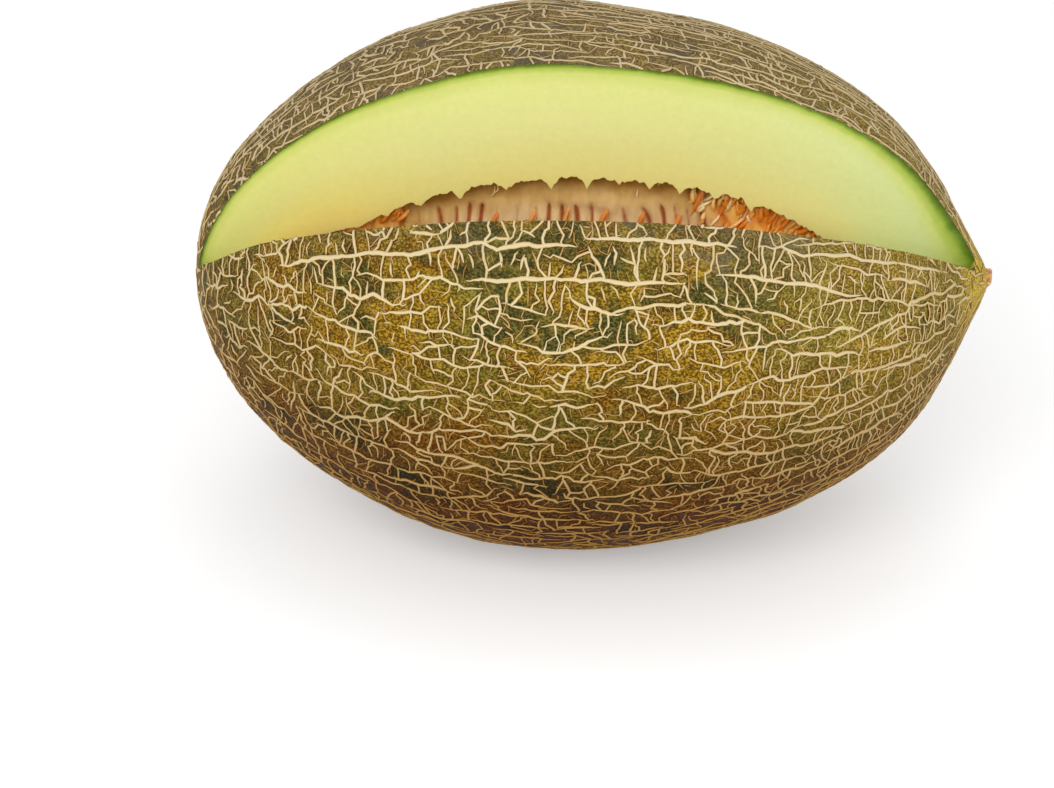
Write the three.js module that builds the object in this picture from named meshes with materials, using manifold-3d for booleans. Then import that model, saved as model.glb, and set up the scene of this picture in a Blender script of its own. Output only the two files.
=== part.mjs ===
// Piel de sapo melon with one wedge cut out of its side.
// Rind and flesh grew as one piece. The seed pulp and the seeds lie in the seed cavity that the cut opened.
// Millimetres. The origin is the middle of the flat spot on which the melon rests. +X runs along the melon
// to its stalk end, -Y is the side that the wedge came from and +Z is up.
import * as THREE from 'three';
import { mergeVertices } from 'three/addons/utils/BufferGeometryUtils.js';
import Module from 'manifold-3d';

// Outline of the whole melon, measured from its widest section.
const GIRTH_RADIUS = 86.4;
const BLUNT_LENGTH = 109.8;
const BLUNT_FULLNESS = 1.665; // 2 would be an ellipse, and less is more pointed
const STALK_LENGTH = 140.2;
const STALK_CONE_SLOPE = 1.99; // radius gained for each millimetre away from the stalk end
const STALK_CONE_END = 1; // radius left at the stalk end
const STALK_CONE_SHARPNESS = 6; // how closely the outline follows the cone and the ellipse where they meet
const TIP_RISE = 4; // how far the stalk end turns up
const TIP_RISE_LENGTH = 24;

// Corky nub that the stalk left behind.
const NUB_RADIUS = 4;
const NUB_LENGTH = 1.9;
const NUB_ROUNDING = 0.7;

// Flat spot, as deep as the melon sinks onto it.
const FLAT_DEPTH = 2;
const AXIS_HEIGHT = GIRTH_RADIUS - FLAT_DEPTH;
const GROUND_DEPTH = 40;

// Seed cavity.
const CAVITY_RADIUS = 44.3;
const CAVITY_HALF_LENGTH = 87;
const CAVITY_MIDDLE = 11;
const PULP_CLEARANCE = 0.5;

// The two knife cuts. An angle is measured in the melon's cross-section, from level at the front (-Y) up to
// the top. The offset is the distance of the cut's surface from the axis, upwards and backwards.
const DEGREE = Math.PI / 180;
const UPPER_CUT = {
  angle: 76.05 * DEGREE,
  offset: -8.9,
  drift: 0.0488,
  sag: 0,
  intoMelon: 1,
  pulpInset: 7,
};
const LOWER_CUT = {
  angle: 27.1 * DEGREE,
  offset: 10.85,
  drift: 0.0383,
  sag: 0.0006,
  intoMelon: -1,
  pulpInset: 5,
};
const WEDGE_ANGLE = UPPER_CUT.angle - LOWER_CUT.angle;
const WEDGE_REACH = 150;
const WEDGE_OVERRUN = 8;

// Seeds, each a flat teardrop.
const SEED_LENGTH = 12;
const SEED_WIDTH = 5.4;
const SEED_THICKNESS = 2.3;
const SEED_TAPER = 0.35;
const SOCKET_CLEARANCE = 0.35;
const SEED_SUNK = 0.6; // how far a seed's middle lies above the face of the pulp
const SEED_LEAN = 16 * DEGREE;
const SEED_LEAN_SPREAD = 4 * DEGREE;
const SEED_SCATTER = 1.2;

// Rows of seeds along the two faces of the cut: how many, from where to where along the melon, and how far
// the middle of a seed lies from the cavity wall.
const SEED_ROWS = [
  { cut: UPPER_CUT, count: 12, from: -50, to: 73, fromWall: 21 },
  { cut: UPPER_CUT, count: 5, from: 47, to: 79, fromWall: 9 },
  { cut: LOWER_CUT, count: 13, from: -56, to: 79, fromWall: 9 },
  { cut: LOWER_CUT, count: 10, from: -42, to: 64, fromWall: 22 },
];

// Fineness of the solids.
const BODY_SEGMENTS = 52;
const BODY_RINGS = 11;
const CAVITY_SEGMENTS = 32;
const CAVITY_RINGS = 16;
const WEDGE_STEPS = 12;
const SEED_SEGMENTS = 8;
const SEED_RINGS = 5;

const wasm = await Module();
wasm.setup();

// A closed geometry as a solid that can be joined and cut.
function toSolid(geometry) {
  const bare = new THREE.BufferGeometry();
  bare.setAttribute('position', geometry.getAttribute('position').clone());
  if (geometry.index) bare.setIndex(geometry.index.clone());
  const merged = mergeVertices(bare, 1e-4);
  const corners = Array.from(merged.index.array);
  const triangles = [];
  for (let i = 0; i < corners.length; i += 3) {
    const [a, b, c] = corners.slice(i, i + 3);
    if (a !== b && b !== c && c !== a) triangles.push(a, b, c);
  }
  return new wasm.Manifold(new wasm.Mesh({
    numProp: 3,
    vertProperties: new Float32Array(merged.getAttribute('position').array),
    triVerts: new Uint32Array(triangles),
  }));
}

function toGeometry(solid) {
  const mesh = solid.getMesh();
  const geometry = new THREE.BufferGeometry();
  geometry.setAttribute('position', new THREE.BufferAttribute(mesh.vertProperties, 3));
  geometry.setIndex(new THREE.BufferAttribute(mesh.triVerts, 1));
  geometry.computeVertexNormals();
  return geometry;
}

// Repeatable scatter between -1 and 1.
let scatterState = 7;
function scatter() {
  scatterState = (scatterState * 16807) % 2147483647;
  return (scatterState / 2147483647) * 2 - 1;
}

// A body of revolution about the melon's axis, from a profile of radius and station.
function latheAlongAxis(profile, segments) {
  const points = profile.map(([radius, station]) => new THREE.Vector2(radius, station));
  return new THREE.LatheGeometry(points, segments).rotateZ(-Math.PI / 2);
}

// Radius of the whole melon at a station between the blunt end and the stalk end.
function outlineRadius(station) {
  if (station < 0) {
    return GIRTH_RADIUS * Math.sqrt(Math.max(0, 1 - (-station / BLUNT_LENGTH) ** BLUNT_FULLNESS));
  }
  const ellipse = GIRTH_RADIUS * Math.sqrt(Math.max(1e-9, 1 - (station / STALK_LENGTH) ** 2));
  const cone = STALK_CONE_END + STALK_CONE_SLOPE * (STALK_LENGTH - station);
  return (ellipse ** -STALK_CONE_SHARPNESS + cone ** -STALK_CONE_SHARPNESS) ** (-1 / STALK_CONE_SHARPNESS);
}

function tipRise(station) {
  return TIP_RISE * Math.max(0, (station - STALK_LENGTH + TIP_RISE_LENGTH) / TIP_RISE_LENGTH) ** 2;
}

function melonOutline() {
  const nubStation = STALK_LENGTH - (NUB_RADIUS - STALK_CONE_END) / STALK_CONE_SLOPE;
  const profile = [[0, -BLUNT_LENGTH]];
  for (let ring = 1; ring < BODY_RINGS; ring++) {
    const station = -BLUNT_LENGTH * Math.cos((ring / BODY_RINGS) * Math.PI / 2);
    profile.push([outlineRadius(station), station]);
  }
  for (let ring = 0; ring < BODY_RINGS; ring++) {
    const station = nubStation * Math.sin((ring / BODY_RINGS) * Math.PI / 2);
    profile.push([outlineRadius(station), station]);
  }
  const nubEnd = nubStation + NUB_LENGTH;
  profile.push([NUB_RADIUS, nubStation]);
  profile.push([NUB_RADIUS, nubEnd - NUB_ROUNDING]);
  profile.push([NUB_RADIUS - NUB_ROUNDING, nubEnd]);
  profile.push([0, nubEnd]);
  const geometry = latheAlongAxis(profile, BODY_SEGMENTS);
  const position = geometry.getAttribute('position');
  for (let i = 0; i < position.count; i++) {
    position.setZ(i, position.getZ(i) + tipRise(position.getX(i)));
  }
  return toSolid(geometry);
}

// What lies below the flat spot.
function groundBlock() {
  const length = BLUNT_LENGTH + STALK_LENGTH;
  const block = new THREE.BoxGeometry(2 * length, 4 * GIRTH_RADIUS, GROUND_DEPTH);
  return toSolid(block.translate(0, 0, -AXIS_HEIGHT - GROUND_DEPTH / 2));
}

// An ellipsoid in the place of the cavity, smaller by the inset.
function cavityBody(inset) {
  const profile = [];
  for (let ring = 0; ring <= CAVITY_RINGS; ring++) {
    const angle = (ring / CAVITY_RINGS) * Math.PI;
    const radius = ring % CAVITY_RINGS ? (CAVITY_RADIUS - inset) * Math.sin(angle) : 0;
    profile.push([radius, CAVITY_MIDDLE - (CAVITY_HALF_LENGTH - inset) * Math.cos(angle)]);
  }
  return toSolid(latheAlongAxis(profile, CAVITY_SEGMENTS));
}

function cavityRadius(station) {
  return CAVITY_RADIUS * Math.sqrt(Math.max(0, 1 - ((station - CAVITY_MIDDLE) / CAVITY_HALF_LENGTH) ** 2));
}

function cutOffset(cut, station) {
  return cut.offset + cut.drift * station - cut.sag * station ** 2;
}

// A point of the cross-section: a distance out along a cut and a distance square to it, as world [y, z].
function sectionPoint(cut, out, square) {
  const y = -out * Math.cos(cut.angle) + square * Math.sin(cut.angle);
  const z = out * Math.sin(cut.angle) + square * Math.cos(cut.angle);
  return [y, z];
}

// Where the two cuts meet at a station, with each cut moved into the melon by its inset.
function wedgeEdge(station, upperInset, lowerInset) {
  const upper = cutOffset(UPPER_CUT, station) + upperInset;
  const lower = cutOffset(LOWER_CUT, station) - lowerInset;
  const alongUpper = sectionPoint(UPPER_CUT, lower / Math.sin(WEDGE_ANGLE), 0);
  const alongLower = sectionPoint(LOWER_CUT, -upper / Math.sin(WEDGE_ANGLE), 0);
  return [alongUpper[0] + alongLower[0], alongUpper[1] + alongLower[1]];
}

// The wedge: a long three-sided prism whose inner edge follows the knife.
function wedgeBody(upperInset, lowerInset) {
  const start = -BLUNT_LENGTH - WEDGE_OVERRUN;
  const length = BLUNT_LENGTH + STALK_LENGTH + 2 * WEDGE_OVERRUN;
  const triangle = new THREE.Shape();
  triangle.moveTo(0, 0);
  triangle.lineTo(...sectionPoint(UPPER_CUT, WEDGE_REACH, 0));
  triangle.lineTo(...sectionPoint(LOWER_CUT, WEDGE_REACH, 0));
  const prism = new THREE.ExtrudeGeometry(triangle, { depth: length, steps: WEDGE_STEPS, bevelEnabled: false });
  const crossSectionToWorld = new THREE.Matrix4().makeBasis(
    new THREE.Vector3(0, 1, 0),
    new THREE.Vector3(0, 0, 1),
    new THREE.Vector3(1, 0, 0),
  );
  prism.applyMatrix4(crossSectionToWorld);
  prism.translate(start, 0, 0);
  const position = prism.getAttribute('position');
  for (let i = 0; i < position.count; i++) {
    const [y, z] = wedgeEdge(position.getX(i), upperInset, lowerInset);
    position.setY(i, position.getY(i) + y);
    position.setZ(i, position.getZ(i) + z);
  }
  return toSolid(prism);
}

// A flat teardrop with its broad end towards +Y, grown on all sides by the clearance.
function seedShape(clearance) {
  const halfLength = SEED_LENGTH / 2 + clearance;
  const profile = [];
  for (let ring = 0; ring <= SEED_RINGS; ring++) {
    const along = -Math.cos((ring / SEED_RINGS) * Math.PI);
    const fullness = Math.sqrt(1 - along ** 2) * (1 + SEED_TAPER * along) / (1 + SEED_TAPER ** 2);
    const radius = ring % SEED_RINGS ? (SEED_WIDTH / 2 + clearance) * fullness : 0;
    profile.push(new THREE.Vector2(radius, halfLength * along));
  }
  const flatness = (SEED_THICKNESS / 2 + clearance) / (SEED_WIDTH / 2 + clearance);
  return new THREE.LatheGeometry(profile, SEED_SEGMENTS).scale(flatness, 1, 1);
}

// Where each seed lies: its long side points out towards the cavity wall and leans along the melon.
function seedPlaces() {
  const places = [];
  for (const { cut, count, from, to, fromWall } of SEED_ROWS) {
    for (let i = 0; i < count; i++) {
      const station = from + (to - from) * (i / (count - 1)) + SEED_SCATTER * scatter();
      const square = cutOffset(cut, station) + cut.intoMelon * (cut.pulpInset - SEED_SUNK);
      const out = Math.sqrt(cavityRadius(station) ** 2 - square ** 2) - fromWall + SEED_SCATTER * scatter();
      const [y, z] = sectionPoint(cut, out, square);
      const [outY, outZ] = sectionPoint(cut, 1, 0);
      const lean = SEED_LEAN + SEED_LEAN_SPREAD * scatter();
      const long = new THREE.Vector3(Math.sin(lean), outY * Math.cos(lean), outZ * Math.cos(lean));
      const flat = new THREE.Vector3(Math.cos(lean), -outY * Math.sin(lean), -outZ * Math.sin(lean));
      const wide = new THREE.Vector3().crossVectors(flat, long);
      const place = new THREE.Matrix4().makeBasis(flat, long, wide).setPosition(station, y, z);
      places.push(place);
    }
  }
  return places;
}

function melonBody() {
  const solid = melonOutline()
    .subtract(groundBlock())
    .subtract(wedgeBody(0, 0))
    .subtract(cavityBody(0));
  const rind = new THREE.MeshStandardMaterial({ color: 0x7d7440, roughness: 0.62, metalness: 0 });
  const mesh = new THREE.Mesh(toGeometry(solid), rind);
  mesh.name = 'melon_body';
  return mesh;
}

function seedPulp(places) {
  let solid = cavityBody(PULP_CLEARANCE).subtract(wedgeBody(UPPER_CUT.pulpInset, LOWER_CUT.pulpInset));
  for (const place of places) {
    solid = solid.subtract(toSolid(seedShape(SOCKET_CLEARANCE).applyMatrix4(place)));
  }
  const membrane = new THREE.MeshStandardMaterial({ color: 0xd9b48c, roughness: 0.35, metalness: 0 });
  const mesh = new THREE.Mesh(toGeometry(solid), membrane);
  mesh.name = 'seed_pulp';
  return mesh;
}

function seed(place, number) {
  const husk = new THREE.MeshStandardMaterial({ color: 0xe0a065, roughness: 0.3, metalness: 0 });
  const mesh = new THREE.Mesh(seedShape(0), husk);
  mesh.name = `seed_${String(number).padStart(2, '0')}`;
  place.decompose(mesh.position, mesh.quaternion, mesh.scale);
  return mesh;
}

const melon = new THREE.Group();
melon.position.z = AXIS_HEIGHT;
const places = seedPlaces();
melon.add(melonBody(), seedPulp(places));
melon.add(...places.map((place, index) => seed(place, index + 1)));

const group = new THREE.Group();
group.add(melon);

export default group;
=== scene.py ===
"""Piel de sapo melon with one wedge cut out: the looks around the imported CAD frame.

Shapes are worked out in millimetres and written to meshes in metres. A station is a place along the melon's
axis, from its widest section towards the stalk. An angle of the cross-section is 0 at the front (-Y) and 90
degrees at the top.
"""
import math
import random

import bmesh
import bpy
import numpy as np
from mathutils import Matrix, Vector


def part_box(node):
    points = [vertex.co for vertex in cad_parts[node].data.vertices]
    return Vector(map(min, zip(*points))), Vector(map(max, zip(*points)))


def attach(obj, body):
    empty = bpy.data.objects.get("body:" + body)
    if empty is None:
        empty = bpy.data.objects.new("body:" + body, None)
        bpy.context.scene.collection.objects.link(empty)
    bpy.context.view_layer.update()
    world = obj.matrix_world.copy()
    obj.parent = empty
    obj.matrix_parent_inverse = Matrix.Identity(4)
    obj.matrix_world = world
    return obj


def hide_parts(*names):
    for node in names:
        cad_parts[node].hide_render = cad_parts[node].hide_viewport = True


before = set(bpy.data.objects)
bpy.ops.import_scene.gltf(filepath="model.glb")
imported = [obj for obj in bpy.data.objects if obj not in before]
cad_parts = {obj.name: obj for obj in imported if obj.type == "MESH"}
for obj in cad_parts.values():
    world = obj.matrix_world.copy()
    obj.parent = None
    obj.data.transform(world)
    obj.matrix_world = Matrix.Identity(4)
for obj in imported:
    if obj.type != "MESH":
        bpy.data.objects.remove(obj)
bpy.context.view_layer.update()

MM = 0.001
DEGREE = math.pi / 180
TURN = 2 * math.pi

# Overall sizes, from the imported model.
BODY_LOW, BODY_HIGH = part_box("melon_body")
BLUNT_LENGTH = -BODY_LOW.x / MM
NUB_END = BODY_HIGH.x / MM
GIRTH_RADIUS = (BODY_HIGH.y - BODY_LOW.y) / 2 / MM
AXIS_HEIGHT = BODY_HIGH.z / MM - GIRTH_RADIUS

# Outline of the melon, as in the CAD.
NUB_LENGTH = 1.9
NUB_RADIUS = 4.0
BLUNT_FULLNESS = 1.665
STALK_CONE_SLOPE = 1.99
STALK_CONE_END = 1.0
STALK_CONE_SHARPNESS = 6
NUB_STATION = NUB_END - NUB_LENGTH
STALK_LENGTH = NUB_STATION + (NUB_RADIUS - STALK_CONE_END) / STALK_CONE_SLOPE
TIP_RISE = 4.0
TIP_RISE_LENGTH = 24.0
GROUND_SOFTNESS = 0.5
GROUND_SINK = 0.02
SLOPE_STEP = 0.2
STEEPEST = 8.0
BROAD_LUMPS = 0.45
SMALL_LUMPS = 0.16
BISECTIONS = 50

# The two knife cuts: angle, distance from the axis, and how that distance changes along it, as in the CAD. But
# the lower one dips a little at the blunt end, and the wedge ends a little earlier at the stalk. The pulp lies
# behind each cut by its inset. Row numbers the cuts, and inward is the sign of the way into the melon.
UPPER_CUT = {
    "angle": 76.05 * DEGREE, "offset": -8.9, "drift": 0.0488, "sag": 0.0, "dip": 0.0, "inset": 7.0,
    "inward": 1, "row": 0,
}
LOWER_CUT = {
    "angle": 27.1 * DEGREE, "offset": 10.85, "drift": 0.0383, "sag": 0.0006, "dip": 2.3, "inset": 5.0,
    "inward": -1, "row": 1,
}
CUTS = (UPPER_CUT, LOWER_CUT)
DIP_START = 82.0
DIP_LENGTH = 22.0
CUT_SHORTENED = 3.8
CUT_ROUNDING = 3.0
WEDGE_ANGLE = UPPER_CUT["angle"] - LOWER_CUT["angle"]

# Seed cavity, as in the CAD, with the pockets in its wall.
CAVITY_RADIUS = 44.3
CAVITY_HALF_LENGTH = 87.0
CAVITY_MIDDLE = 11.0
POCKET_PITCH = 11.0
POCKET_DEPTH = 4.4

# Grid of the melon's surface.
RIND_COLUMNS = 140
FACE_COLUMNS = 26
CAVITY_COLUMNS = 40
CUT_STATIONS = 350
END_STATIONS = 18

# Seeds, as in the CAD.
SEED_LENGTH = 12.0
SEED_WIDTH = 5.4
SEED_THICKNESS = 2.3
SEED_TAPER = 0.35


# ---------------------------------------------------------------- shape of the melon

def wobble(u, v, seed, count=6):
    """Smooth repeatable unevenness between about -1 and 1, with features about one unit across."""
    dice = random.Random(seed)
    total = 0.0 * np.asarray(u, float) * np.asarray(v, float)
    for _ in range(count):
        way = dice.uniform(0, TURN)
        rate = dice.uniform(0.6, 1.7)
        phase = dice.uniform(0, TURN)
        total = total + np.sin(rate * (math.cos(way) * u + math.sin(way) * v) * 3 + phase)
    return total / math.sqrt(count) / 1.2


def outline_radius(station):
    """Radius of the melon at a station along its axis."""
    station = np.asarray(station, float)
    blunt = 1 - np.clip(-station / BLUNT_LENGTH, 0, 1) ** BLUNT_FULLNESS
    ellipse = np.sqrt(np.clip(1 - (np.clip(station, 0, None) / STALK_LENGTH) ** 2, 1e-9, None))
    cone = STALK_CONE_END + STALK_CONE_SLOPE * np.clip(STALK_LENGTH - station, 0, None)
    sharp = STALK_CONE_SHARPNESS
    stalk = ((GIRTH_RADIUS * ellipse) ** -sharp + cone ** -sharp) ** (-1 / sharp)
    return np.where(station < 0, GIRTH_RADIUS * np.sqrt(np.clip(blunt, 0, None)), stalk)


def outline_slope(station):
    """How fast the radius changes along the axis, limited where the outline closes steeply."""
    change = outline_radius(station + SLOPE_STEP) - outline_radius(station - SLOPE_STEP)
    return np.clip(change / (2 * SLOPE_STEP), -STEEPEST, STEEPEST)


def tip_rise(station):
    """How far the axis bends up towards the stalk."""
    start = STALK_LENGTH - TIP_RISE_LENGTH
    return TIP_RISE * (np.clip(np.asarray(station, float) - start, 0, None) / TIP_RISE_LENGTH) ** 2


def to_world(station, front, up):
    """Points in mm from section coordinates, kept above the ground that flattens the fruit's underside."""
    z = up + AXIS_HEIGHT
    z = 0.5 * (z + np.sqrt(z * z + GROUND_SOFTNESS ** 2)) - GROUND_SINK
    return np.stack(np.broadcast_arrays(station, -np.asarray(front, float), z), -1)


def rind_lumps(station, angle):
    """Low unevenness of the rind in mm, fading out at both ends."""
    radius = outline_radius(station)
    fade = np.clip(radius / 40, 0, 1)
    broad = wobble(station / 42, radius * np.sin(angle) / 42 + radius * np.cos(angle) / 55, 11)
    small = wobble(station / 13, radius * angle / 11, 12)
    return fade * (BROAD_LUMPS * broad + SMALL_LUMPS * small)


def rind_point(station, angle, height=0.0):
    """A point on the rind, or that many mm above it, measured square to the surface."""
    slope = outline_slope(station)
    steepness = np.sqrt(1 + slope ** 2)
    lift = rind_lumps(station, angle) + height
    radius = outline_radius(station) + lift / steepness
    along = station - lift * slope / steepness
    return to_world(along, radius * np.cos(angle), radius * np.sin(angle) + tip_rise(station))


def cut_offset(cut, station):
    """Distance of a cut from the axis; the lower one dips where the knife came out at the blunt end."""
    share = np.clip((-station - DIP_START) / DIP_LENGTH, 0, 1)
    dip = cut["dip"] * share ** 2 * (3 - 2 * share)
    return cut["offset"] + cut["drift"] * station - cut["sag"] * station ** 2 - dip


def section(cut, out, square):
    """(front, up) of a point that far out along a cut and that far square to it."""
    cosine, sine = math.cos(cut["angle"]), math.sin(cut["angle"])
    return out * cosine - square * sine, out * sine + square * cosine


def along_cut(cut, front, up):
    """The reverse of section: how far out along a cut a point lies, and how far square to it."""
    cosine, sine = math.cos(cut["angle"]), math.sin(cut["angle"])
    return front * cosine + up * sine, -front * sine + up * cosine


def polar(point, centre_front, centre_up):
    """Angle and distance of a point of the cross-section from a centre."""
    front, up = point[0] - centre_front, point[1] - centre_up
    return math.atan2(up, front), math.hypot(up, front)


def wedge_edge(station, insets=0):
    """(front, up) where the two cuts meet, with each moved into the melon by that many of its insets."""
    upper, lower = (cut_offset(cut, station) + cut["inward"] * insets * cut["inset"] for cut in CUTS)
    along_upper = section(UPPER_CUT, lower / math.sin(WEDGE_ANGLE), 0 * station)
    along_lower = section(LOWER_CUT, -upper / math.sin(WEDGE_ANGLE), 0 * station)
    return along_upper[0] + along_lower[0], along_upper[1] + along_lower[1]


def cut_room(station):
    """How far the cuts' meeting line lies inside the rind; below zero the knife left the fruit uncut."""
    front, up = wedge_edge(station)
    return outline_radius(station) - np.hypot(front, up - tip_rise(station))


def cut_end(inside, outside):
    """The station, between one inside the cut and one outside, at which the cut ends."""
    for _ in range(BISECTIONS):
        middle = (inside + outside) / 2
        inside, outside = (middle, outside) if cut_room(middle) > 0 else (inside, middle)
    return inside


CUT_START = cut_end(0.0, -BLUNT_LENGTH)
CUT_STOP = cut_end(0.0, NUB_STATION) - CUT_SHORTENED


def line_meets_circle(cut, station, centre_front, centre_up, radius):
    """How far out along a cut's line it leaves a circle of the cross-section."""
    centre_out, centre_square = along_cut(cut, centre_front, centre_up)
    square = cut_offset(cut, station) - centre_square
    return centre_out + np.sqrt(np.clip(radius ** 2 - square ** 2, 0, None))


def rim_angle(cut, station):
    """The angle, about the outline's centre, at which a cut's line leaves the rind."""
    rise = tip_rise(station)
    out = line_meets_circle(cut, station, 0 * station, rise, outline_radius(station))
    front, up = section(cut, out, cut_offset(cut, station))
    return np.arctan2(up - rise, front)


def edge_angle(station):
    """The angle, about the outline's centre, of the line where the two cuts meet."""
    front, up = wedge_edge(station)
    return np.arctan2(up - tip_rise(station), front)


def in_wedge(station, angle):
    """Whether that place on the rind was cut away with the wedge."""
    if not CUT_START < station < CUT_STOP:
        return False
    angle = angle % TURN
    return float(rim_angle(LOWER_CUT, station)) < angle < float(rim_angle(UPPER_CUT, station))


def pocket(station, row):
    """Depth of the seed pockets in the cavity's wall: rounded arches with thin teeth between them."""
    drift = 0.28 * wobble(station / 30, 3.0 * row, 21)
    wave = np.abs(np.sin(math.pi * (station / POCKET_PITCH + 0.37 * row + drift)))
    arch = np.clip(1.5 * wave, 0, 1) ** 0.75
    size = 0.75 + 0.5 * wobble(station / 17, 5.0 * row, 22)
    ragged = 0.40 * wobble(station / 1.6, 7.0 * row, 23) + 0.35 * wobble(station / 0.8, 9.0 * row, 24)
    fade = np.clip(cavity_radius(station) / 25, 0, 1) * np.clip((station + 65) / 45, 0.35, 1)
    return fade * (POCKET_DEPTH * size * (arch - 0.8) + ragged)


def cavity_radius(station):
    """Radius of the seed cavity before its pockets, 0 beyond its ends."""
    inside = 1 - ((station - CAVITY_MIDDLE) / CAVITY_HALF_LENGTH) ** 2
    return CAVITY_RADIUS * np.sqrt(np.clip(inside, 0, None))


# ---------------------------------------------------------------- meshes

def link_mesh(name, points_mm, faces, materials, attributes):
    """A smooth-shaded mesh object from points in mm, with one number per point for each attribute."""
    mesh = bpy.data.meshes.new(name)
    mesh.from_pydata((points_mm * MM).tolist(), [], faces)
    for material in materials:
        mesh.materials.append(material)
    mesh.polygons.foreach_set("use_smooth", [True] * len(mesh.polygons))
    for key, values in attributes.items():
        layer = mesh.attributes.new(key, "FLOAT", "POINT")
        layer.data.foreach_set("value", np.asarray(values, np.float32))
    piece = bpy.data.objects.new(name, mesh)
    bpy.context.scene.collection.objects.link(piece)
    return piece


def mesh_object(name, points_mm, faces, materials, attributes, zones=None):
    """As link_mesh, but points at one place are merged and faces that vanish are dropped."""
    points = np.asarray(points_mm, float).reshape(-1, 3)
    keys = np.round(points, 4)
    _, first, back = np.unique(keys, axis=0, return_index=True, return_inverse=True)
    back = back.reshape(-1)
    kept, kept_zones = [], []
    for number, face in enumerate(faces):
        loop = []
        for corner in back[list(face)].tolist():
            if corner not in loop:
                loop.append(corner)
        if len(loop) > 2:
            kept.append(loop)
            kept_zones.append(zones[number] if zones is not None else 0)
    merged = {key: np.asarray(values)[first] for key, values in attributes.items()}
    piece = link_mesh(name, points[first], kept, materials, merged)
    piece.data.polygons.foreach_set("material_index", kept_zones)
    piece.data.validate()
    piece.data.update()
    return piece


def sharpen_zone_borders(piece):
    """Makes the edges sharp where one material meets another."""
    bm = bmesh.new()
    bm.from_mesh(piece.data)
    for edge in bm.edges:
        zones = {face.material_index for face in edge.link_faces}
        edge.smooth = len(zones) < 2
    bm.to_mesh(piece.data)
    bm.free()


def loop_faces(rows, columns, base=0):
    """Quads of a grid whose columns close on themselves, for points numbered from base."""
    faces = []
    for row in range(rows - 1):
        start = base + row * columns
        for column in range(columns):
            a, b = start + column, start + (column + 1) % columns
            faces.append((a, b, b + columns, a + columns))
    return faces


def capped_faces(rows, columns, base=0):
    """As loop_faces, with a lid on the first and the last row."""
    last = base + (rows - 1) * columns
    lids = [tuple(base + k for k in reversed(range(columns))), tuple(last + k for k in range(columns))]
    return loop_faces(rows, columns, base) + lids


# ---------------------------------------------------------------- rind, flesh and cavity wall

RIND, FLESH, WALL, NUB = range(4)


def body_stations():
    """Stations from the blunt end to the nub, closer together where the cavity shows."""
    blunt = CUT_START - (BLUNT_LENGTH + CUT_START) * np.linspace(1, 0, END_STATIONS, endpoint=False) ** 1.8
    middle = np.linspace(0, 1, CUT_STATIONS)
    ends = 0.5 - 0.5 * np.cos(math.pi * middle)
    cut = CUT_START + (CUT_STOP - CUT_START) * (0.8 * middle + 0.2 * ends)
    stalk = np.linspace(CUT_STOP, NUB_STATION, END_STATIONS // 2 + 1)[1:]
    return np.concatenate([blunt, cut, stalk])


def body_section(station):
    """One closed loop of the cut melon's cross-section: its points, and how deep each lies below the rind."""
    rise = float(tip_rise(station))
    radius = float(outline_radius(station))
    if station > CUT_START:
        rim_station = min(station, CUT_STOP)
        first, last = float(rim_angle(UPPER_CUT, rim_station)), float(rim_angle(LOWER_CUT, rim_station))
    else:
        first = last = float(edge_angle(CUT_START))
    share = np.linspace(0, 1, RIND_COLUMNS)
    angles = first + (last + TURN - first) * share
    rind = rind_point(station, angles)
    inner_columns = 2 * FACE_COLUMNS + CAVITY_COLUMNS
    skin = rind_point(station, np.linspace(last, first, inner_columns + 2)[1:-1])
    if not CUT_START < station < CUT_STOP:
        return np.concatenate([rind, skin]), np.zeros(len(rind) + inner_columns)

    edge_front, edge_up = (float(v) for v in wedge_edge(station))
    hollow = float(cavity_radius(station))
    reach = math.hypot(edge_front, edge_up)
    shift = 1 - min(1.0, 0.8 * hollow / reach)
    centre_front, centre_up = edge_front * shift, edge_up * shift
    faces = []
    for cut in CUTS:
        square = float(cut_offset(cut, station))
        rim_out = float(line_meets_circle(cut, station, 0.0, rise, radius))
        wall = hollow + float(pocket(station, cut["row"])) if hollow > 0 else 0.0
        inner = float(line_meets_circle(cut, station, centre_front, centre_up, max(wall, 0.0)))
        edge_out, _ = along_cut(cut, edge_front, edge_up)
        inner = max(inner, edge_out) if hollow > 0 else edge_out
        inner = min(inner, rim_out)
        spread = np.linspace(0, 1, FACE_COLUMNS + 2)[1:] ** 1.5
        out = rim_out + (inner - rim_out) * spread
        faces.append(np.stack(section(cut, out, square + 0 * out), -1))
    upper, lower = faces
    (start, low_reach), (stop, high_reach) = (
        polar(face[-1], centre_front, centre_up) for face in (lower, upper))
    around = np.linspace(start, stop - TURN, CAVITY_COLUMNS)
    wall_radius = low_reach + (high_reach - low_reach) * np.linspace(0, 1, CAVITY_COLUMNS)
    wall_front = centre_front + wall_radius * np.cos(around)
    wall = np.stack([wall_front, centre_up + wall_radius * np.sin(around)], -1)
    inner = np.concatenate([lower[:-1], wall, upper[:-1][::-1]])
    fill = max(0.0, 1 - (CUT_STOP - station) / CUT_ROUNDING) ** 3
    points = to_world(station, inner[:, 0], inner[:, 1])
    points += (skin - points) * fill
    inner = inner + (np.stack([-skin[:, 1], skin[:, 2] - AXIS_HEIGHT], -1) - inner) * fill
    steepness = math.sqrt(1 + float(outline_slope(station)) ** 2)
    depth = (radius - np.hypot(inner[:, 0], inner[:, 1] - rise)) / steepness
    return np.concatenate([rind, points]), np.concatenate([np.zeros(len(rind)), depth])


# The stub where the stalk broke off: how far out, radius and lift of each ring in mm.
NUB_PROFILE = (
    (0.25, 3.5, 0.3), (0.5, 2.9, 0.8), (0.9, 2.7, 1.2), (1.4, 2.5, 1.4), (1.85, 1.9, 1.5), (1.7, 1.0, 1.5),
    (1.5, 0.0, 1.5),
)


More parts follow.
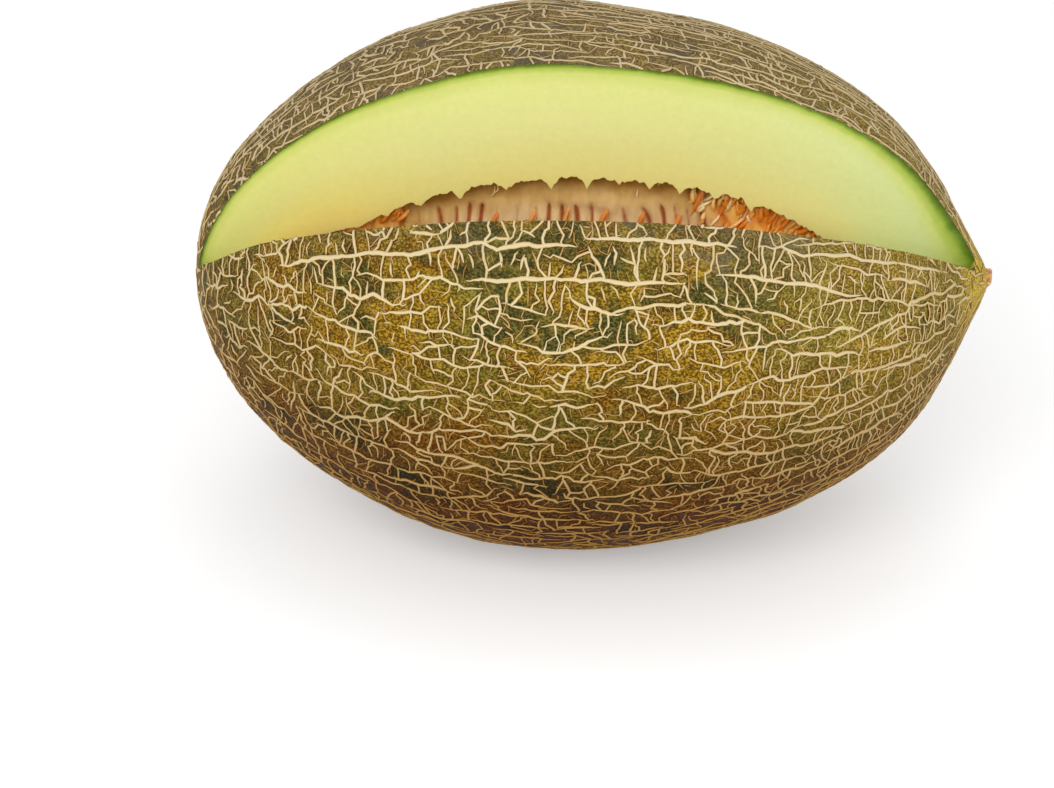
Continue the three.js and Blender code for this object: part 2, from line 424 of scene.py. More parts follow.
def build_body(materials):
    """The melon itself: one closed surface in four zones, rind, flesh, cavity wall and stub."""
    stations = body_stations()
    loops, depths = zip(*(body_section(float(s)) for s in stations))
    columns = len(loops[0])
    nub_rings = []
    centre = np.array([0.0, 0.0, AXIS_HEIGHT + float(tip_rise(NUB_STATION))])
    spokes = loops[-1][:, 1:] - centre[1:]
    spokes = spokes / np.maximum(np.linalg.norm(spokes, axis=1, keepdims=True), 1e-9)
    spoke_angle = np.arctan2(spokes[:, 1], spokes[:, 0])
    crumble = 0.35 * wobble(spoke_angle * 1.3, 0 * spoke_angle, 31) + 0.25 * np.sin(5 * spoke_angle)
    for along, radius, lift in NUB_PROFILE:
        ring = np.zeros((columns, 3))
        ring[:, 0] = NUB_STATION + along
        ring[:, 1:] = centre[1:] + spokes * (radius + crumble[:, None] * min(1.0, radius / 3))
        ring[:, 2] += lift
        nub_rings.append(ring)
    rings = list(loops) + nub_rings
    depth = list(depths) + [np.zeros(columns)] * len(nub_rings)
    points = np.concatenate(rings)
    faces = loop_faces(len(rings), columns)
    cut_row = [RIND] * (RIND_COLUMNS - 1) + [FLESH] * (FACE_COLUMNS + 1) + [WALL] * (CAVITY_COLUMNS - 1)
    cut_row += [FLESH] * (columns - len(cut_row))
    uncut = int(np.searchsorted(stations, CUT_STOP - 1e-6))
    whole_rows = len(loops) - 1 - uncut
    zones = cut_row * uncut + [RIND] * (columns * whole_rows) + [NUB] * (columns * len(nub_rings))
    attributes = {"depth": np.concatenate(depth)}
    piece = mesh_object("melon_rind_and_flesh", points, faces, materials, attributes, zones)
    sharpen_zone_borders(piece)
    return piece


# ---------------------------------------------------------------- netting

LONG_WAYS, CROSS_WAYS, HAIRLINES = range(3)
NET_SEED = 5
NET_STEP = 1.15
NET_CELL = 2.4
NET_TABLE_STEP = 0.5
NET_STEEPEST = 12
NET_END_RADIUS = 3.2
LONG_END_RADIUS = 6.0
CROSS_END_RADIUS = 5.0
FREE_STEPS = 1.6
END_GAP = 0.62
FULL_GAP_RADIUS = 60.0
LONG_TRIES = 14000
CROSS_TRIES = 26000
HAIRLINE_TRIES = 14000
LONG_MEET, CROSS_MEET, HAIRLINE_MEET = 0.8, 0.75, 0.45
HAIRLINE_ROOM = 0.9
NET_SPLIT = 10.0
BLOSSOM_STEPS = 30
BLOSSOM_DEPTH = 0.30
RIM_BISECTIONS = 14


class Net:
    """Cork cracks that grow over the rind. Each one stops where it meets an earlier one."""

    def __init__(self, seed):
        self.dice = random.Random(seed)
        self.cells = {}
        self.cracks = []
        radii = outline_radius(np.arange(-BLUNT_LENGTH, NUB_STATION + 1, NET_TABLE_STEP))
        self.radii = radii.tolist()
        self.slopes = np.clip(np.gradient(radii, NET_TABLE_STEP), -NET_STEEPEST, NET_STEEPEST).tolist()

    def radius_and_slope(self, station):
        """The outline at a station, from a table, because it is asked for many thousand times."""
        place = (station + BLUNT_LENGTH) / NET_TABLE_STEP
        index = min(max(int(place), 0), len(self.radii) - 2)
        part = place - index
        radius = self.radii[index] * (1 - part) + self.radii[index + 1] * part
        return max(radius, 0.5), self.slopes[index]

    def place(self, station, angle):
        """A point of the rind in mm from the axis."""
        radius, _ = self.radius_and_slope(station)
        return station, radius * math.cos(angle), radius * math.sin(angle)

    def near(self, point, reach):
        """The distance to the nearest crack within reach, and which crack it is."""
        x, y, z = point
        span = int(math.ceil(reach / NET_CELL))
        cx, cy, cz = int(x // NET_CELL), int(y // NET_CELL), int(z // NET_CELL)
        best, owner = reach * reach, None
        for i in range(cx - span, cx + span + 1):
            for j in range(cy - span, cy + span + 1):
                for k in range(cz - span, cz + span + 1):
                    for px, py, pz, crack, index in self.cells.get((i, j, k), ()):
                        away = (px - x) ** 2 + (py - y) ** 2 + (pz - z) ** 2
                        if away < best:
                            best, owner = away, (crack, index)
        return math.sqrt(best), owner

    def walk(self, station, angle, length, home, bend, meet):
        """Short straight pieces that zigzag about one direction: 0 is to the stalk, 90 degrees is around.

        The walk ends at a crack nearer than meet. It returns the path, without the place where it started, and
        whether it met a crack.
        """
        path = []
        gone = 0.0
        straight = 0
        heading, drift = home, 0.0
        while gone < length:
            radius, slope = self.radius_and_slope(station)
            if radius < NET_END_RADIUS or not -BLUNT_LENGTH + 0.4 <= station <= NUB_STATION - 0.6:
                return path, False
            if straight <= 0:
                straight = self.dice.choice((1, 2, 2, 3))
                drift = 0.7 * drift + self.dice.gauss(0, 0.30 * bend)
                heading = home + drift + self.dice.gauss(0, bend)
            straight -= 1
            station += NET_STEP * math.cos(heading) / math.sqrt(1 + slope * slope)
            angle += NET_STEP * math.sin(heading) / radius
            gone += NET_STEP
            path.append((station, angle))
            if gone > FREE_STEPS * NET_STEP:
                _, owner = self.near(self.place(station, angle), meet)
                if owner is not None:
                    crack, index = owner
                    path.append(self.cracks[crack]["path"][index])
                    return path, True
        return path, False

    def add(self, path, kind, width, open_start, open_stop):
        """Keeps a crack. An open end is one that met no other crack, so it tapers."""
        if len(path) < 3:
            return
        number = len(self.cracks)
        self.cracks.append({
            "path": path, "kind": kind, "width": width, "ends": (open_start, open_stop),
            "tone": self.dice.random(), "phase": self.dice.uniform(0, TURN),
        })
        for index, (station, angle) in enumerate(path):
            x, y, z = self.place(station, angle)
            key = (int(x // NET_CELL), int(y // NET_CELL), int(z // NET_CELL))
            self.cells.setdefault(key, []).append((x, y, z, number, index))

    def random_place(self):
        """A place drawn evenly over the rind."""
        while True:
            station = self.dice.uniform(-BLUNT_LENGTH + 1, NUB_STATION - 1)
            radius, slope = self.radius_and_slope(station)
            if self.dice.random() * GIRTH_RADIUS * 1.6 < radius * math.sqrt(1 + min(slope * slope, 9)):
                return station, self.dice.uniform(0, TURN)

    def grow_both_ways(self, station, angle, length, home, bend, meet, kind, width):
        split = self.dice.uniform(0.4, 0.6)
        ahead, hit_ahead = self.walk(station, angle, length * split, home, bend, meet)
        behind, hit_behind = self.walk(station, angle, length * (1 - split), home + math.pi, bend, meet)
        path = behind[::-1] + [(station, angle)] + ahead
        self.add(path, kind, width, not hit_behind, not hit_ahead)

    def towards(self, station, angle, owner):
        """The direction over the rind from a place to a point of a crack."""
        crack, index = owner
        there_station, there_angle = self.cracks[crack]["path"][index]
        radius, slope = self.radius_and_slope(station)
        around = ((there_angle - angle + math.pi) % TURN - math.pi) * radius
        return math.atan2(around, (there_station - station) * math.sqrt(1 + slope * slope))


# How the netting looks in each part of the rind, in mm and degrees: gap between long cracks, least room for a
# crack that crosses, zigzag, shortest and longest long crack, widths of long cracks, widths of the others,
# share of crossing cracks that stay short, and share of them that run straight around the fruit.
NET_STYLES = {
    "middle": (4.3, 1.85, 19, 8, 34, 0.60, 1.10, 0.42, 0.80, 0.12, 0.45),
    "top": (2.5, 1.30, 12, 10, 50, 0.40, 0.85, 0.45, 0.95, 0.40, 0.9),
    "rim": (7.0, 1.80, 13, 14, 55, 0.80, 1.25, 0.50, 1.00, 0.45, 0.75),
    "stalk": (4.1, 1.20, 13, 12, 58, 0.70, 1.25, 0.34, 0.64, 0.12, 0.8),
    "blunt": (6.4, 1.75, 24, 6, 22, 0.70, 1.10, 0.45, 0.95, 0.25, 0.5),
    "tip": (3.6, 2.10, 22, 6, 24, 0.50, 0.90, 0.40, 0.70, 0.30, 0.5),
    "brow": (5.2, 2.20, 24, 6, 22, 0.75, 1.30, 0.65, 1.20, 0.40, 0.4),
}

# The brow is the strip of rind above the cut on the blunt half. Its middle in degrees, and its change per mm.
BROW_ANGLE = 84.0
BROW_SLOPE = 0.05

# Long cracks beside the lower cut: first and last station, how far below the rim, and width, in mm.
RIM_CRACKS = (
    (-78, 12, 7.0, 1.3), (14, 58, 5.0, 1.25), (-20, 44, 17.0, 1.25), (52, 96, 14.0, 1.15),
    (64, 124, 4.5, 1.0),
)

# The ridge's cross-section for each kind of crack: place across in widths, height in heights, and the crest
# value that the colour follows. Its two feet are widened by the skirt and sink into the rind; the dark colour
# at the foot is partly painted shade around the ridge.
RIDGE_SKIRT = 0.19
RIDGE_SHAPES = {
    HAIRLINES: ((-0.5, -0.12, 0.0), (0.0, 1.0, 0.45), (0.5, -0.12, 0.0)),
    CROSS_WAYS: ((-0.5, -0.10, 0.0), (-0.24, 1.0, 0.9), (0.2, 0.95, 0.9), (0.5, -0.10, 0.0)),
    LONG_WAYS: (
        (-0.5, -0.10, 0.0), (-0.36, 0.75, 0.75), (0.03, 1.0, 1.0), (0.38, 0.7, 0.75), (0.5, -0.10, 0.0),
    ),
}


def net_style(station, angle):
    """The netting's habits at a place: a blend of the styles whose part of the rind it is in."""
    degrees = (angle / DEGREE + 180) % 360 - 180
    weight = {
        "top": np.clip((degrees - 62) / 14, 0, 1) * np.clip((150 - degrees) / 20, 0, 1),
        "tip": np.clip((station - NUB_STATION + 20) / 10, 0, 1),
        "stalk": np.clip((station - 40) / 55, 0, 1),
        "blunt": np.clip((-station - 58) / 30, 0, 1),
    }
    weight["top"] *= 1 - weight["tip"]
    weight["stalk"] *= (1 - 0.7 * weight["top"]) * (1 - weight["tip"])
    weight["blunt"] *= 1 - 0.7 * weight["top"]
    brow = BROW_ANGLE - BROW_SLOPE * station
    weight["brow"] = (np.clip((degrees - brow + 8) / 6, 0, 1) * np.clip((brow + 14 - degrees) / 6, 0, 1)
                      * np.clip(-station / 30, 0, 1))
    for key in ("top", "blunt"):
        weight[key] *= 1 - weight["brow"]
    left = max(0.0, 1 - sum(weight.values()))
    weight["rim"] = left * np.clip(1 - abs(degrees - 26) / 15, 0, 1)
    weight["middle"] = max(0.0, left - weight["rim"])
    total = sum(weight.values())
    columns = range(len(NET_STYLES["middle"]))
    return [sum(weight[key] * NET_STYLES[key][k] for key in weight) / total for k in columns]


def rim_followers(net):
    """The long cracks that follow the lower cut's rim."""
    for start, stop, below, width in RIM_CRACKS:
        station = start
        path = []
        turn, sway = 0, 0.0
        while station < stop:
            if turn <= 0:
                turn = net.dice.choice((2, 3, 4))
                lean = net.dice.gauss(0, 0.16) - 0.10 * sway
            turn -= 1
            sway += lean * NET_STEP
            rim = float(rim_angle(LOWER_CUT, station))
            radius, _ = net.radius_and_slope(station)
            path.append((station, rim - (below + sway) / radius))
            station += NET_STEP
        net.add(path, LONG_WAYS, width, True, True)


def blossom_ring(net):
    """The crack around the scar that the blossom left at the blunt end."""
    ring = []
    for step in range(BLOSSOM_STEPS + 1):
        angle = step * TURN / BLOSSOM_STEPS
        sway = 1 + 0.25 * math.sin(3 * angle + 1) + 0.15 * math.sin(7 * angle)
        ring.append((-BLUNT_LENGTH + BLOSSOM_DEPTH * sway, angle))
    net.add(ring, LONG_WAYS, 0.8, False, False)


def grow_long_cracks(net):
    dice = net.dice
    for _ in range(LONG_TRIES):
        station, angle = net.random_place()
        radius, _ = net.radius_and_slope(station)
        gap, _, bend, shortest, longest, thin, thick = net_style(station, angle)[:7]
        gap *= END_GAP + (1 - END_GAP) * min(1.0, radius / FULL_GAP_RADIUS)
        distance, _ = net.near(net.place(station, angle), gap)
        if distance < gap or radius < LONG_END_RADIUS:
            continue
        home = dice.gauss(0, 0.35 * bend) * DEGREE
        net.grow_both_ways(
            station, angle, dice.uniform(shortest, longest), home, bend * DEGREE, LONG_MEET, LONG_WAYS,
            dice.uniform(thin, thick))


def grow_crossing_cracks(net):
    """Cracks that start between the long ones and run around the fruit or towards the nearest crack."""
    dice = net.dice
    for _ in range(CROSS_TRIES):
        station, angle = net.random_place()
        radius, _ = net.radius_and_slope(station)
        gap, room, bend, _, _, _, _, thin, thick, lone, around = net_style(station, angle)
        place = net.place(station, angle)
        distance, owner = net.near(place, 0.75 * gap)
        if distance < room or owner is None or radius < CROSS_END_RADIUS:
            continue
        if dice.random() < around:
            home = dice.gauss(90, 15) * DEGREE
        else:
            home = net.towards(station, angle, owner) + dice.gauss(0, 14) * DEGREE
        length = 2.2 * room if dice.random() < lone else 2.6 * gap
        net.grow_both_ways(
            station, angle, length, home, (10 + 0.8 * bend) * DEGREE, CROSS_MEET, CROSS_WAYS,
            dice.uniform(thin, thick))


def grow_hairlines(net):
    """Fine cracks in the space that is left."""
    dice = net.dice
    for _ in range(HAIRLINE_TRIES):
        station, angle = net.random_place()
        distance, _ = net.near(net.place(station, angle), HAIRLINE_ROOM)
        if distance < HAIRLINE_ROOM:
            continue
        home = dice.gauss(90, 50) * DEGREE
        net.grow_both_ways(
            station, angle, dice.uniform(1.6, 4.6), home, 20 * DEGREE, HAIRLINE_MEET, HAIRLINES,
            dice.uniform(0.22, 0.42))


def grow_net():
    net = Net(NET_SEED)
    blossom_ring(net)
    rim_followers(net)
    grow_long_cracks(net)
    grow_crossing_cracks(net)
    grow_hairlines(net)
    return net


def outside_wedge_runs(path):
    """The stretches of a crack that the knife left, ending on the rim where it cut them."""
    runs, run = [], []
    for here, there in zip(path, path[1:] + [None]):
        here_in = in_wedge(*here)
        if not here_in:
            run.append(here)
        if there is None or in_wedge(*there) == here_in:
            continue
        low, high = (here, there) if not here_in else (there, here)
        for _ in range(RIM_BISECTIONS):
            middle = ((low[0] + high[0]) / 2, (low[1] + high[1]) / 2)
            low, high = (low, middle) if in_wedge(*middle) else (middle, high)
        if here_in:
            run = [low]
        else:
            runs.append(run + [low])
            run = []
    if len(run) > 1:
        runs.append(run)
    return [one for one in runs if len(one) > 1]


def ridge_rings(crack, path, dice):
    """The ridge's cross-sections along a crack in mm, and the crest value of each of their points."""
    track = np.array(path)
    count = len(track)
    station, angle = track[:, 0], np.unwrap(track[:, 1])
    spine = rind_point(station, angle)
    way = np.gradient(spine, axis=0)
    way /= np.maximum(np.linalg.norm(way, axis=1, keepdims=True), 1e-9)
    square = rind_point(station, angle, 1.0) - spine
    square[spine[:, 2] < 1.0] = (0.0, 0.0, -0.12)
    side = np.cross(square, way)
    side /= np.maximum(np.linalg.norm(side, axis=1, keepdims=True), 1e-9)
    run = np.arange(count) * NET_STEP
    rough = np.array([dice.uniform(-1, 1) for _ in range(count)])
    waves = np.sin(run / 3.1 + crack["phase"]) * np.cos(run / 7.3)
    width = crack["width"] * (1 + 0.22 * waves + 0.14 * rough)
    taper_length = min(0.45 * run[-1], 12.0)
    if crack["ends"][0]:
        width *= np.clip(0.22 + run / taper_length, 0, 1)
    if crack["ends"][1]:
        width *= np.clip(0.22 + (run[-1] - run) / taper_length, 0, 1)
    sway = 0.10 * crack["width"] * np.array([dice.uniform(-1, 1) for _ in range(count)])
    spine = spine + side * sway[:, None]
    tall = 0.10 + 0.30 * width
    rings, crest = [], []
    for across, up, height in RIDGE_SHAPES[crack["kind"]]:
        reach = across * width + (math.copysign(RIDGE_SKIRT, across) if abs(across) == 0.5 else 0.0)
        rings.append(spine + side * reach[:, None] + square * (up * tall)[:, None])
        crest.append(np.full(count, height))
    return np.stack(rings, 1), np.stack(crest, 1)


def build_netting(net, name, kind, start, stop, material):
    """One piece of closed ridges for the cracks of one kind whose first point lies between two stations."""
    dice = random.Random(name)
    points, faces, crest, tone = [], [], [], []
    base = 0
    for crack in net.cracks:
        if crack["kind"] != kind or not start <= crack["path"][0][0] < stop:
            continue
        for path in outside_wedge_runs(crack["path"]):
            rings, heights = ridge_rings(crack, path, dice)
            rows, columns = rings.shape[:2]
            points.append(rings.reshape(-1, 3))
            crest.append(heights.reshape(-1))
            tone.append(np.full(rows * columns, crack["tone"]))
            faces += capped_faces(rows, columns, base)
            base += rows * columns
    attributes = {"crest": np.concatenate(crest), "tone": np.concatenate(tone)}
    return link_mesh(name, np.concatenate(points), faces, [material], attributes)


# ---------------------------------------------------------------- seed pulp, strands and seeds

PULP_GAP = 0.7
PULP_STATIONS = 330
PULP_WALL_COLUMNS = 30
PULP_FACE_COLUMNS = 46
RIB_PITCH = 4.9
STRAND_STEPS = 9
STRAND_SIDES = 6


def fold(cut, station, out):
    """The pulp's ribs on a face of the cut: 0 in the slot between two ribs, 1 on a rib."""
    row = cut["row"]
    drift = 0.35 * wobble(station / 14, out / 20 + 4.0 * row, 51) + 0.010 * (out - 30)
    rib = np.abs(np.sin(math.pi * (station / RIB_PITCH + drift))) ** 0.8
    strong = np.clip(0.75 + 0.5 * wobble(station / 9, 3.0 * row, 52), 0.25, 1)
    low = np.clip((31 - out) / 3, 0, 1)
    return 1 - (1 - rib) * strong * (0.12 + 0.88 * low)


def pulp_inset(cut, station, out, wall_out):
    """How far behind the cut the pulp lies: deep beside the cavity's wall, proud further in, with ribs."""
    beside_wall = np.clip(1 - (wall_out - out) / 14.0, 0, 1)
    bulge = np.clip(1 - (out - 18) / 16.0, 0, 1)
    broad = wobble(station / 7, out / 7 + 5.0 * cut["row"], 53)
    lumps = 0.7 * broad + 0.35 * wobble(station / 2.4, out / 4.5, 54)
    raised = np.clip(1.3 * (station - 46) / 10, 0, 1.3) + np.clip(2.2 * (-25 - station) / 14, 0, 2.2)
    ribs = 1.9 * (fold(cut, station, out) - 0.6)
    return cut["inset"] - raised + 2.4 * beside_wall ** 2 - 2.2 * bulge - ribs + 0.8 * lumps


def pulp_section(station):
    hollow = max(float(cavity_radius(station)) - PULP_GAP, 0.05)
    front, up = (float(v) for v in wedge_edge(station, 1))
    reach = math.hypot(front, up)
    pull = min(1.0, 0.75 * hollow / reach)
    front, up = front * pull, up * pull
    faces, walls, folds = [], [], []
    for cut in CUTS:
        start, plain_square = along_cut(cut, front, up)
        stop = math.sqrt(max(hollow ** 2 - plain_square ** 2, 0.0))
        share = np.linspace(0, 1, PULP_FACE_COLUMNS)
        out = start + (stop - start) * share
        wanted = cut_offset(cut, station) + cut["inward"] * pulp_inset(cut, station, out, stop)
        ease = np.clip(share * 6, 0, 1) * np.clip((1 - share) * 8 + 0.35, 0, 1) * min(1.0, hollow / 12)
        square = plain_square + (wanted - plain_square) * ease
        points = np.stack(section(cut, out, square), -1)
        size = np.linalg.norm(points, axis=1)
        points *= np.minimum(1, hollow / np.maximum(size, 1e-6))[:, None]
        faces.append(points)
        walls.append(np.clip(1 - (stop - out - 4) / 14.0, 0, 1))
        folds.append(fold(cut, station, out))
    upper, lower = faces
    (start, _), (stop, _) = (polar(face[-1], 0.0, 0.0) for face in (lower, upper))
    around = np.linspace(start, stop - TURN, PULP_WALL_COLUMNS)[1:-1]
    wall = np.stack([hollow * np.cos(around), hollow * np.sin(around)], -1)
    loop = np.concatenate([lower, wall, upper[::-1][:-1]])
    near_wall = np.concatenate([walls[1], np.ones(len(wall)), walls[0][::-1][:-1]])
    folded = np.concatenate([folds[1], np.ones(len(wall)), folds[0][::-1][:-1]])
    return to_world(station, loop[:, 0], loop[:, 1]), near_wall, folded


def build_pulp(material):
    spread = np.linspace(-1, 1, PULP_STATIONS)
    half = CAVITY_HALF_LENGTH - PULP_GAP
    stations = CAVITY_MIDDLE + half * (0.8 * spread + 0.2 * np.sin(spread * math.pi / 2))
    loops, walls, folds = zip(*(pulp_section(float(s)) for s in stations))
    columns = len(loops[0])
    rings = list(loops)
    for end in (0, -1):
        rings[end] = np.repeat(loops[end].mean(0, keepdims=True), columns, 0)
    return mesh_object(
        "seed_pulp_flesh", np.concatenate(rings), loop_faces(len(rings), columns), [material],
        {"wall": np.concatenate(walls), "fold": np.concatenate(folds)})


def tube_points(path, radii):
    """Rings of points around a path in mm."""
    way = np.gradient(path, axis=0)
    way /= np.linalg.norm(way, axis=1, keepdims=True)
    side = np.cross(way, (0.31, -0.2, 0.93))
    side /= np.linalg.norm(side, axis=1, keepdims=True)
    other = np.cross(way, side)
    turn = np.arange(STRAND_SIDES) * TURN / STRAND_SIDES
    ring = np.cos(turn)[None, :, None] * side[:, None] + np.sin(turn)[None, :, None] * other[:, None]
    points = path[:, None] + ring * np.asarray(radii)[:, None, None]
    return points.reshape(-1, 3)


# Groups of strands: cut, first and last station, how many, thickness, length and lean along the fruit in mm,
# and the deepest and palest tone.
STRAND_PLACES = (
    (UPPER_CUT, 52, 86, 70, 0.95, 8.0, 5.5, 0.0, 0.7),
    (UPPER_CUT, 44, 64, 26, 0.75, 6.0, 2.0, 0.6, 1.0),
    (UPPER_CUT, 56, 84, 20, 0.45, 6.0, 4.0, 0.3, 1.0),
    (UPPER_CUT, -60, -44, 16, 1.00, 6.0, 4.5, 0.0, 0.6),
    (UPPER_CUT, -36, 44, 9, 0.30, 3.5, 0.5, 0.5, 1.0),
    (LOWER_CUT, -62, 84, 130, 0.60, 7.0, 4.0, 0.0, 1.0),
)


def build_strands(material):
    """The stringy fibres that cross the pulp beside the seeds."""
    dice = random.Random(61)
    points, faces, tone = [], [], []
    base = 0
    for cut, start, stop, count, thick, long, lean, deep_tone, pale_tone in STRAND_PLACES:
        inward = cut["inward"]
        for _ in range(count):
            station = dice.uniform(start, stop)
            wall = float(cavity_radius(station))
            square = float(cut_offset(cut, station)) + inward * cut["inset"]
            wall_out = math.sqrt(max(wall * wall - square * square, 25))
            out_b = wall_out - 0.8 - dice.random() ** 1.6 * 0.45 * wall_out
            out_a = max(out_b - dice.uniform(0.7, 1.3) * long, 1.0)
            along = dice.gauss(lean, 0.35 * long)
            bulge = dice.uniform(0.6, 3.0)
            share = np.linspace(0, 1, STRAND_STEPS)
            arch = np.sin(share * math.pi)
            out = out_a + (out_b - out_a) * share
            stations = station + along * share + 0.5 * np.sin(share * dice.uniform(3, 8) + dice.uniform(0, 6))
            depth = square - inward * (bulge * arch + 0.6)
            front, up = section(cut, out, depth)
            rounded = 0.16 + 0.84 * np.sin((0.03 + 0.92 * share) * math.pi) ** 0.8
            radii = thick * dice.uniform(0.6, 1.1) * rounded
            points.append(tube_points(to_world(stations, front, up), radii))
            faces += capped_faces(STRAND_STEPS, STRAND_SIDES, base)
            tone.append(np.full(STRAND_STEPS * STRAND_SIDES, dice.uniform(deep_tone, pale_tone)))
            base += STRAND_STEPS * STRAND_SIDES
    attributes = {"tone": np.concatenate(tone)}
    return mesh_object("pulp_strands", np.concatenate(points), faces, [material], attributes)


def seed_axes(node):
    """Middle and axes of a CAD seed: its long side towards the broad end, its flat side and its width."""
    corners = np.array([vertex.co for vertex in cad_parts[node].data.vertices], float).reshape(-1, 3)
    corners = np.unique(np.round(corners, 7), axis=0)
    low, high = corners.min(0), corners.max(0)
    middle = (low + high) / 2
    spread = corners - corners.mean(0)
    _, axes = np.linalg.eigh(spread.T @ spread)
    flat, wide, long = axes[:, 0], axes[:, 1], axes[:, 2]
    along = spread @ long
    girth = np.linalg.norm(spread - np.outer(along, long), axis=1)
    if float((along * girth).sum()) < 0:
        long = -long
    wide = np.cross(long, flat)
    return middle / MM, long, flat, wide


SEED_RINGS = 22
SEED_SIDES = 20


def build_seed(node, material):
    """A plump flat teardrop with a thin rim around its edge, in the place of its CAD seed."""
    middle, long, flat, wide = seed_axes(node)
    number = int(node.split("_")[1])
    along = -np.cos(np.linspace(0, math.pi, SEED_RINGS))
    fullness = np.sqrt(1 - along ** 2) * (1 + SEED_TAPER * along) / (1 + SEED_TAPER ** 2)
    turn = np.arange(SEED_SIDES) * TURN / SEED_SIDES
    across = np.cos(turn)
    through = np.sign(np.sin(turn)) * np.abs(np.sin(turn)) ** 1.35
    rows = []
    for place, full in zip(along, fullness):
        dent = 1 + 0.06 * wobble(np.cos(turn) * 2 + number, place * 2 + 0 * turn, 70 + number)
        x = SEED_THICKNESS / 2 * full * through * dent
        y = SEED_LENGTH / 2 * place + 0 * turn
        z = SEED_WIDTH / 2 * full * across
        rows.append(middle + np.outer(x, flat) + np.outer(y, long) + np.outer(z, wide))
    tone = np.full(SEED_RINGS * SEED_SIDES, random.Random(number).random())
    edge = np.tile(np.abs(across), SEED_RINGS)
    faces = loop_faces(SEED_RINGS, SEED_SIDES)
    piece = mesh_object(node + "_husk", np.concatenate(rows), faces, [material], {"tone": tone, "edge": edge})
    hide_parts(node)
    return piece


# ---------------------------------------------------------------- materials

# The depth in mm at which the flesh's band of colours ends.
DEPTH_SPAN = 46.0


def srgb(red, green, blue):
    """A colour given as 0 to 255 screen values, as the linear colour that shaders use."""
    values = [channel / 255 for channel in (red, green, blue)]
    return tuple(v / 12.92 if v <= 0.04045 else ((v + 0.055) / 1.055) ** 2.4 for v in values) + (1.0,)


class Paint:
    """One node material around a Principled shader, with short calls for the nodes that it uses."""

    def __init__(self, name, **settings):
        self.material = bpy.data.materials.new(name)
        self.material.use_nodes = True
        self.tree = self.material.node_tree
        self.shader = self.tree.nodes["Principled BSDF"]
        for key, value in settings.items():
            self.shader.inputs[key.replace("_", " ")].default_value = value
        self.place = self.tree.nodes.new("ShaderNodeTexCoord").outputs["Object"]

    def node(self, kind, settings=None, **inputs):
        """A new node. Inputs are named by socket, or i0, i1 and so on, and are values or other sockets."""
        made = self.tree.nodes.new(kind)
        for key, value in (settings or {}).items():
            setattr(made, key, value)
        for key, value in inputs.items():
            socket = made.inputs[int(key[1:])] if key[0] == "i" and key[1:].isdigit() else made.inputs[key]
            if isinstance(value, bpy.types.NodeSocket):
                self.tree.links.new(value, socket)
            else:
                socket.default_value = value
        return made

    def set(self, key, value):
        self.tree.links.new(value, self.shader.inputs[key])

    def noise(self, size_mm, detail, stretch=(1, 1, 1)):
        """Noise with features of about that size; stretch draws them out along X, Y and Z."""
        squeeze = [1 / factor for factor in stretch]
        place = self.node("ShaderNodeMapping", Vector=self.place, Scale=squeeze).outputs[0]
        scale = 1 / (size_mm * MM)
        return self.node("ShaderNodeTexNoise", Vector=place, Scale=scale, Detail=detail).outputs[0]

    def attribute(self, name):
        return self.node("ShaderNodeAttribute", {"attribute_name": name}).outputs["Fac"]

    def ramp(self, factor, *stops):
        """Colours or greys at places from 0 to 1."""
        made = self.node("ShaderNodeValToRGB", Fac=factor)
        ramp = made.color_ramp
        while len(ramp.elements) < len(stops):
            ramp.elements.new(0.5)
        for element, (place, value) in zip(ramp.elements, stops):
            element.position = place
            element.color = value if isinstance(value, tuple) else (value, value, value, 1)
        return made.outputs["Color"]

    def mix(self, factor, first, second, blend="MIX"):
        settings = {"data_type": "RGBA", "blend_type": blend}
        return self.node("ShaderNodeMix", settings, i0=factor, i6=first, i7=second).outputs[2]

    def math(self, operation, first, second=0.0, clamp=False):
        """One step of arithmetic; an operation with one operand ignores the second."""
        made = self.node("ShaderNodeMath", {"operation": operation, "use_clamp": clamp}, i0=first, i1=second)
        return made.outputs[0]

    def product(self, first, second):
        return self.math("MULTIPLY", first, second)

    def inverse(self, value):
        return self.math("SUBTRACT", 1.0, value)

    def sway(self, amount, size_mm, detail, stretch=(1, 1, 1)):
        """Noise around zero, of about that amount."""
        return self.product(self.math("SUBTRACT", self.noise(size_mm, detail, stretch), 0.5), amount)

    def finish(self, colour, size_mm, detail, depth_mm, strength, stretch=(1, 1, 1)):
        """Sets the colour and a bump of noise of that size and depth, and returns the material."""
        self.set("Base Color", colour)
        height = self.noise(size_mm, detail, stretch)
        made = self.node("ShaderNodeBump", Height=height, Distance=depth_mm * MM, Strength=strength)
        self.set("Normal", made.outputs[0])
        return self.material

    def axis(self, name):
        return self.node("ShaderNodeSeparateXYZ", Vector=self.place).outputs[name]

    def between(self, length, low_mm, high_mm):
        """0 where that length is below one limit and 1 above the other, with a soft change between."""
        made = self.node("ShaderNodeMapRange", {"interpolation_type": "SMOOTHSTEP"}, Value=length)
        made.inputs["From Min"].default_value = low_mm * MM
        made.inputs["From Max"].default_value = high_mm * MM
        return made.outputs[0]

    def height_z(self, low_mm, high_mm):
        return self.between(self.axis("Z"), low_mm, high_mm)

    def along_x(self, low_mm, high_mm):
        return self.between(self.axis("X"), low_mm, high_mm)

    def upper_side(self, low_mm, high_mm):
        """As height_z, but reaching further down towards the fruit's two ends."""
        towards_ends = self.math("MULTIPLY", self.math("ABSOLUTE", self.axis("X")), 0.25)
        return self.between(self.math("ADD", self.axis("Z"), towards_ends), low_mm, high_mm)


def painted_shade_below(paint, colour, dark):
    """The colour, with painted shade that darkens it towards the ground."""
    low = paint.inverse(paint.height_z(25, 110))
    return paint.mix(low, colour, dark, "MULTIPLY")


